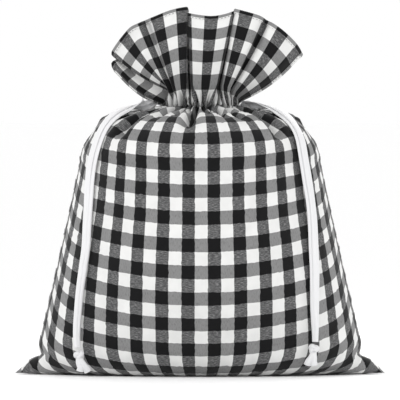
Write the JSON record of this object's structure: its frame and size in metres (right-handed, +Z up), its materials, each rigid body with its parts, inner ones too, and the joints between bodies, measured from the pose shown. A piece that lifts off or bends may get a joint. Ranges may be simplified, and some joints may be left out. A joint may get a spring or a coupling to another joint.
{
  "type": "fabric gift sack",
  "caption": "Drawstring gift sack of checked woven cloth, gathered shut at the neck under a fanned heading, with ribbon ties hanging down each side.",
  "frame": {"origin": "centre of the sack's footprint, on the surface it stands on", "axes": "+Z up; the sack faces -Y, with its side seams at -X and +X and its bottom seam along X"},
  "size_m": [0.362, 0.2392, 0.358],
  "materials": {
    "checked_cloth": "plain-weave cotton in an even black and white check, matt",
    "white_ribbon": "soft white satin ribbon",
    "sewing_thread": "dark sewing thread"
  },
  "bodies": {
    "sack": {"front_panel": "checked_cloth", "back_panel": "checked_cloth", "bottom_seam": "checked_cloth", "left_side_seam": "checked_cloth", "right_side_seam": "checked_cloth", "front_casing": "checked_cloth", "back_casing": "checked_cloth", "front_heading": "checked_cloth", "back_heading": "checked_cloth", "front_top_hem": "checked_cloth", "back_top_hem": "checked_cloth", "front_left_slit_hem": "checked_cloth", "front_right_slit_hem": "checked_cloth", "back_left_slit_hem": "checked_cloth", "back_right_slit_hem": "checked_cloth", "left_ribbon_loop": "white_ribbon", "right_ribbon_loop": "white_ribbon"},
    "left_tails": {"left_ribbon_outer_tail": "white_ribbon", "left_ribbon_inner_tail": "white_ribbon", "left_knot": "white_ribbon", "left_ribbon_ends": "white_ribbon"},
    "right_tails": {"right_ribbon_outer_tail": "white_ribbon", "right_ribbon_inner_tail": "white_ribbon", "right_knot": "white_ribbon", "right_ribbon_ends": "white_ribbon"}
  },
  "joints": [
    {"name": "left_tails_lift", "type": "hinge", "parent": "sack", "child": "left_tails", "pos_m": [-0.04, 0, 0.269], "axis": [-0.6, 0.8, 0], "range_deg": [0, 40]},
    {"name": "right_tails_lift", "type": "hinge", "parent": "sack", "child": "right_tails", "pos_m": [0.04, 0, 0.263], "axis": [-0.6, -0.8, 0], "range_deg": [0, 40]}
  ]
}
